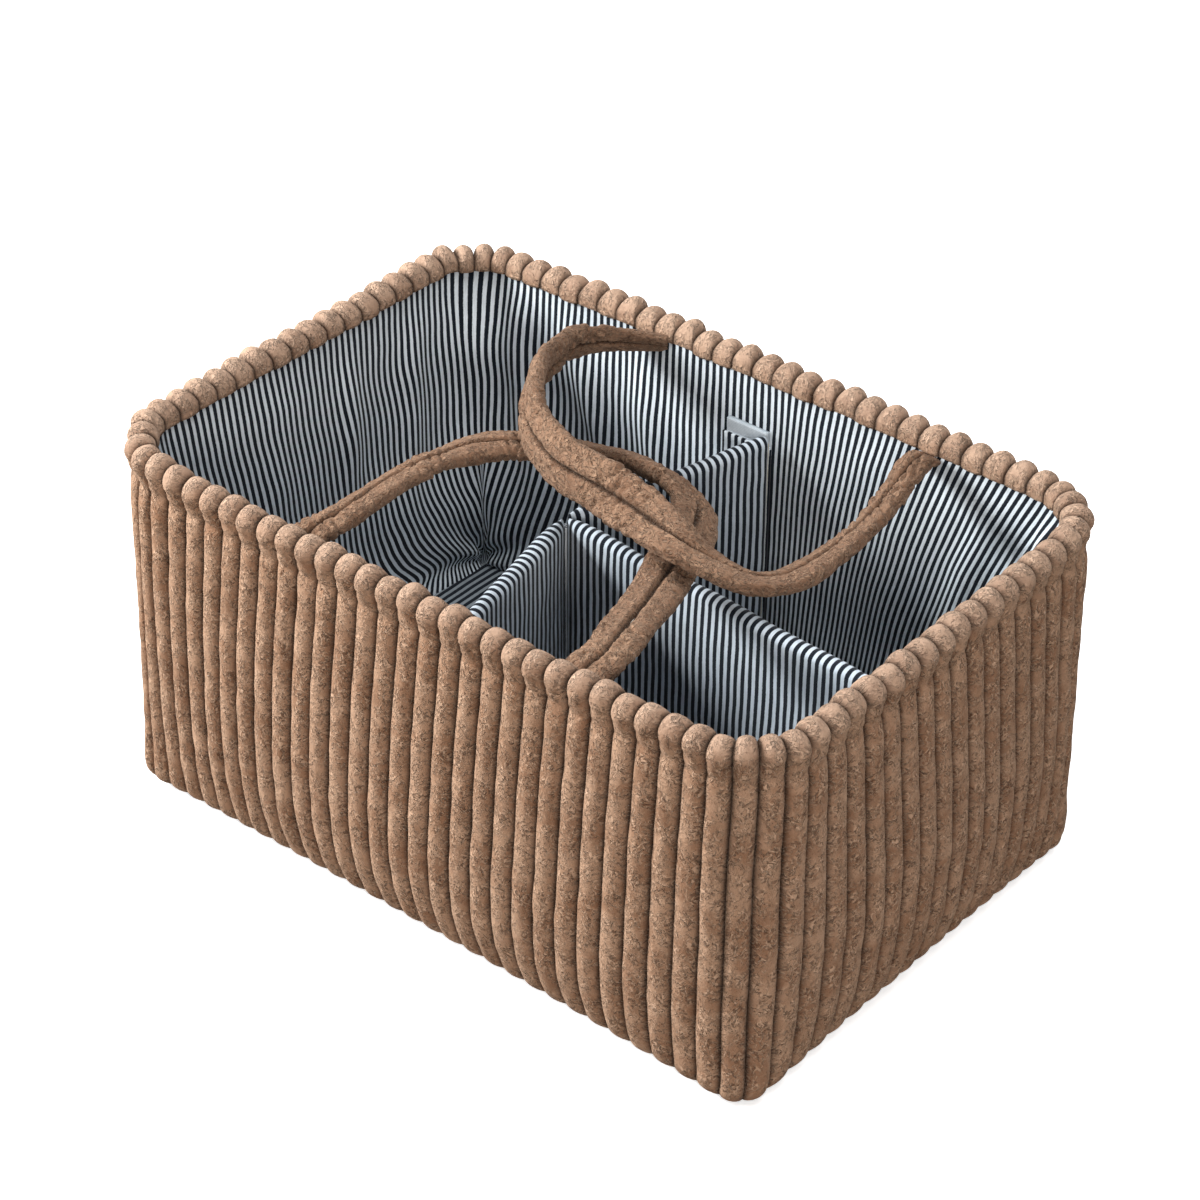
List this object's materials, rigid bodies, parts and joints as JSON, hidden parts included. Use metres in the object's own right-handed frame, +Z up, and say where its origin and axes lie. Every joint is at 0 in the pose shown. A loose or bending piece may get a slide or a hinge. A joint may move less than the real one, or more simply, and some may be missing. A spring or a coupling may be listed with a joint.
{
  "type": "storage basket",
  "caption": "Soft rectangular storage basket of wide-wale corduroy over foam, with a striped lining, two soft carrying loops and a padded T-shaped divider.",
  "frame": {"origin": "centre of the underside, on the surface that the basket stands on", "axes": "+X along the long sides to the right, +Y from the front wall to the back wall, +Z up"},
  "size_m": [0.3638, 0.244, 0.1918],
  "materials": {
    "corduroy": "deep cut pile, wide wale, camel brown",
    "lining": "woven cotton ticking, navy and white stripes",
    "foam": "soft closed foam, hidden",
    "board": "stiff foam board, hidden",
    "tape": "grey hook and loop tape",
    "webbing": "cotton webbing, hidden"
  },
  "bodies": {
    "basket": {"cover_wall": "corduroy", "base_cover": "corduroy", "foam_band": "foam", "base_board": "board", "lining_wall": "lining", "lining_base": "lining", "front_handle_left_tab": "corduroy", "front_handle_right_tab": "corduroy", "back_handle_left_tab": "corduroy", "back_handle_right_tab": "corduroy", "divider_seam": "lining", "divider_front_sleeve": "lining", "divider_front_board": "board", "divider_front_hook": "tape", "front_loop_strip": "tape", "divider_back_sleeve": "lining", "divider_back_board": "board", "divider_back_hook": "tape", "back_loop_strip": "tape", "right_loop_strip": "tape"},
    "front_handle": {"front_handle": "corduroy", "front_handle_core": "webbing"},
    "back_handle": {"back_handle": "corduroy", "back_handle_core": "webbing"},
    "partition": {"partition_sleeve": "lining", "partition_board": "board", "partition_hook": "tape"}
  },
  "joints": [
    {"name": "back_handle_swing", "type": "hinge", "parent": "basket", "child": "back_handle", "pos_m": [0.0155, 0.1019, 0.168], "axis": [-1, 0, 0], "range_deg": [0, 90]},
    {"name": "front_handle_swing", "type": "hinge", "parent": "basket", "child": "front_handle", "pos_m": [0.007, -0.1019, 0.168], "axis": [1, 0, 0], "range_deg": [0, 54]},
    {"name": "partition_swing", "type": "hinge", "parent": "basket", "child": "partition", "pos_m": [-0.019, -0.001, 0.0064], "axis": [0, 0, 1], "range_deg": [-25, 25]}
  ],
  "couplings": [
    {"joint": "front_handle_swing", "follows": "back_handle_swing", "ratio": 0.6}
  ]
}
